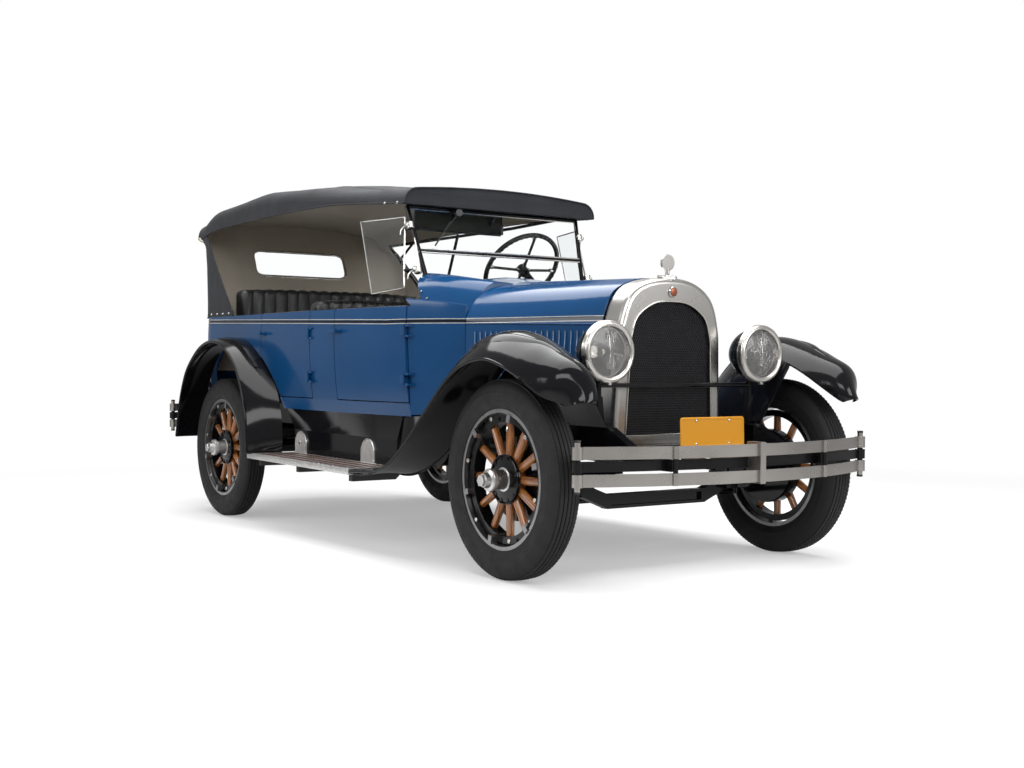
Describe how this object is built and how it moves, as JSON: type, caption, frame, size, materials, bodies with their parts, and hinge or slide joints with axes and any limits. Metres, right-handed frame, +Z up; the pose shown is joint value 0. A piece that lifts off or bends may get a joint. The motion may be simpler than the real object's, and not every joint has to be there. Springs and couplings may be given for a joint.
{
  "type": "touring car",
  "caption": "Open four-door touring car with a raised fabric top, wood-spoked wheels that roll and steer, hinged doors and a folding hood",
  "frame": {"origin": "on the ground under the middle of the car", "axes": "+X to the car's left, +Y to its rear, +Z up"},
  "size_m": [1.7248, 4.3904, 1.82],
  "materials": {
    "tyre": "matt black rubber",
    "spoke_wood": "varnished hickory",
    "black_enamel": "gloss black enamel",
    "board": "aluminium edged board",
    "nickel": "satin nickel",
    "blue_enamel": "gloss blue enamel",
    "glass": "clear",
    "black_leather": "black leather",
    "top_fabric": "dark blue-black top cloth",
    "black_rubber": "hard black rubber",
    "cast_iron": "painted iron",
    "floor_wood": "dark floor boards"
  },
  "bodies": {
    "chassis_and_body": {"body_tub": "blue_enamel", "canopy": "top_fabric", "centre_pillars": "blue_enamel", "cowl": "blue_enamel", "driveline": "cast_iron", "engine": "cast_iron", "exhaust": "cast_iron", "floor_pan": "floor_wood", "frame": "black_enamel", "front_axle": "black_enamel", "front_bumper": "nickel", "front_fenders": "black_enamel", "front_seat": "black_leather", "fuel_tank": "black_enamel", "headlamp_lenses": "glass", "headlamps": "black_enamel", "leaf_springs": "black_enamel", "radiator_core": "black_enamel", "radiator_shell": "nickel", "rear_axle": "black_enamel", "rear_bumper": "nickel", "rear_fenders": "black_enamel", "rear_seat": "black_leather", "running_boards": "board", "spare_carrier": "black_enamel", "spare_tyre": "tyre", "splash_aprons": "black_enamel", "steering_column": "black_enamel", "tail_lamp": "black_enamel", "top_bows": "black_enamel", "windscreen_frame": "black_enamel", "windscreen_glass": "glass"},
    "wheel_fl": {"tyre_fl": "tyre", "spokes_fl": "spoke_wood", "hub_fl": "black_enamel"},
    "wheel_fr": {"tyre_fr": "tyre", "spokes_fr": "spoke_wood", "hub_fr": "black_enamel"},
    "wheel_rl": {"tyre_rl": "tyre", "spokes_rl": "spoke_wood", "hub_rl": "black_enamel"},
    "wheel_rr": {"tyre_rr": "tyre", "spokes_rr": "spoke_wood", "hub_rr": "black_enamel"},
    "knuckle_l": {"knuckle_left": "black_enamel"},
    "knuckle_r": {"knuckle_right": "black_enamel"},
    "tie_rod_body": {"tie_rod": "black_enamel"},
    "steering_wheel_body": {"steering_wheel": "black_rubber"},
    "door_front_left_body": {"door_front_left": "blue_enamel"},
    "door_front_right_body": {"door_front_right": "blue_enamel"},
    "door_rear_left_body": {"door_rear_left": "blue_enamel"},
    "door_rear_right_body": {"door_rear_right": "blue_enamel"},
    "hood_top_left_body": {"hood_top_left": "blue_enamel"},
    "hood_top_right_body": {"hood_top_right": "blue_enamel"},
    "hood_side_left_body": {"hood_side_left": "blue_enamel"},
    "hood_side_right_body": {"hood_side_right": "blue_enamel"}
  },
  "joints": [
    {"name": "wheel_fl_spin", "type": "hinge", "parent": "knuckle_l", "child": "wheel_fl", "pos_m": [0.711, -1.57853, 0.3806], "axis": [1, 0, 0], "continuous": true},
    {"name": "wheel_fr_spin", "type": "hinge", "parent": "knuckle_r", "child": "wheel_fr", "pos_m": [-0.711, -1.57853, 0.3806], "axis": [1, 0, 0], "continuous": true},
    {"name": "wheel_rl_spin", "type": "hinge", "parent": "chassis_and_body", "child": "wheel_rl", "pos_m": [0.711, 1.19147, 0.3806], "axis": [1, 0, 0], "continuous": true},
    {"name": "wheel_rr_spin", "type": "hinge", "parent": "chassis_and_body", "child": "wheel_rr", "pos_m": [-0.711, 1.19147, 0.3806], "axis": [1, 0, 0], "continuous": true},
    {"name": "steer_left", "type": "hinge", "parent": "chassis_and_body", "child": "knuckle_l", "pos_m": [0.589, -1.57853, 0.3806], "axis": [0, 0, 1], "range_deg": [-30, 30]},
    {"name": "steer_right", "type": "hinge", "parent": "chassis_and_body", "child": "knuckle_r", "pos_m": [-0.589, -1.57853, 0.3806], "axis": [0, 0, 1], "range_deg": [-30, 30]},
    {"name": "tie_rod_pivot", "type": "hinge", "parent": "knuckle_l", "child": "tie_rod_body", "pos_m": [0.589, -1.42853, 0.2886], "axis": [0, 0, 1], "range_deg": [-30, 30]},
    {"name": "steering_wheel_turn", "type": "hinge", "parent": "chassis_and_body", "child": "steering_wheel_body", "pos_m": [0.33, -0.15031, 1.32575], "axis": [0, 0.7792, 0.6268], "range_deg": [-450, 450]},
    {"name": "door_front_left_hinge", "type": "hinge", "parent": "chassis_and_body", "child": "door_front_left_body", "pos_m": [0.6275, -0.61532, 0.86411], "axis": [0, 0.0142, -0.9999], "range_deg": [0, 70]},
    {"name": "door_front_right_hinge", "type": "hinge", "parent": "chassis_and_body", "child": "door_front_right_body", "pos_m": [-0.6275, -0.61532, 0.86411], "axis": [0, -0.0142, 0.9999], "range_deg": [0, 70]},
    {"name": "door_rear_left_hinge", "type": "hinge", "parent": "chassis_and_body", "child": "door_rear_left_body", "pos_m": [0.70481, 0.2046, 0.87573], "axis": [0, 0.0142, -0.9999], "range_deg": [0, 70]},
    {"name": "door_rear_right_hinge", "type": "hinge", "parent": "chassis_and_body", "child": "door_rear_right_body", "pos_m": [-0.70481, 0.2046, 0.87573], "axis": [0, -0.0142, 0.9999], "range_deg": [0, 70]},
    {"name": "hood_top_left_hinge", "type": "hinge", "parent": "chassis_and_body", "child": "hood_top_left_body", "pos_m": [0, -1.229, 1.17611], "axis": [0, -0.9993, -0.0364], "range_deg": [0, 60]},
    {"name": "hood_side_left_hinge", "type": "hinge", "parent": "hood_top_left_body", "child": "hood_side_left_body", "pos_m": [0.3615, -1.2222, 0.98923], "axis": [0.2682, 0.9627, 0.035], "range_deg": [-30, 30]},
    {"name": "hood_top_right_hinge", "type": "hinge", "parent": "chassis_and_body", "child": "hood_top_right_body", "pos_m": [0, -1.229, 1.17611], "axis": [0, 0.9993, 0.0364], "range_deg": [0, 60]},
    {"name": "hood_side_right_hinge", "type": "hinge", "parent": "hood_top_right_body", "child": "hood_side_right_body", "pos_m": [-0.3615, -1.2222, 0.98923], "axis": [-0.2682, 0.9627, 0.035], "range_deg": [-30, 30]}
  ],
  "couplings": [
    {"joint": "steer_right", "follows": "steer_left", "ratio": 1},
    {"joint": "tie_rod_pivot", "follows": "steer_left", "ratio": -1},
    {"joint": "steering_wheel_turn", "follows": "steer_left", "ratio": 15},
    {"joint": "hood_side_left_hinge", "follows": "hood_top_left_hinge", "ratio": -0.5},
    {"joint": "hood_side_right_hinge", "follows": "hood_top_right_hinge", "ratio": 0.5}
  ]
}
